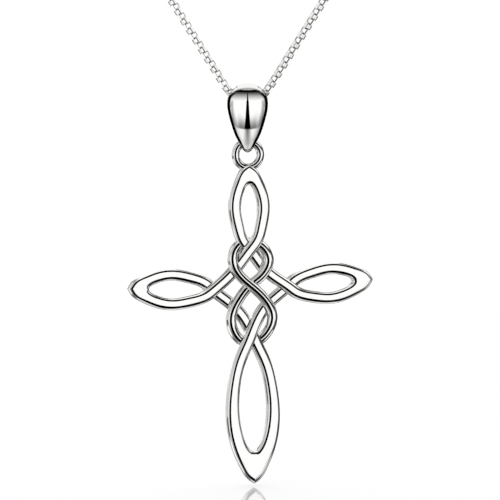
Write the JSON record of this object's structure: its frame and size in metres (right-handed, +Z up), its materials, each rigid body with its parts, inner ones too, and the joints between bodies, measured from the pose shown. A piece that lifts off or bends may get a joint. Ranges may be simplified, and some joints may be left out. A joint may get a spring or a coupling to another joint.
{
  "type": "cross and infinity pendant necklace",
  "caption": "Polished silver cross laced with an upright infinity loop, hanging from a teardrop bail on a fine box chain, stored as worn.",
  "frame": {"origin": "the middle of the clasp, where the necklace rests on the nape of the neck", "axes": "+Z up as worn, the pendant's front faces -Y, +X to the wearer's left"},
  "size_m": [0.1208, 0.1134, 0.1538],
  "materials": {
    "cross": "polished",
    "bail": "polished",
    "chain": "polished",
    "clasp": "polished"
  },
  "bodies": {
    "chain": {"chain": "chain", "clasp": "clasp"},
    "bail": {"bail": "bail"},
    "cross": {"cross": "cross"}
  },
  "joints": [
    {"name": "bail_swing", "type": "hinge", "parent": "chain", "child": "bail", "pos_m": [0, -0.109, -0.114], "axis": [1, 0, 0], "range_deg": [-20, 20]},
    {"name": "cross_swing", "type": "hinge", "parent": "bail", "child": "cross", "pos_m": [0, -0.109, -0.11825], "axis": [0.9742, 0.2249, 0.0192], "range_deg": [-20, 20]}
  ]
}
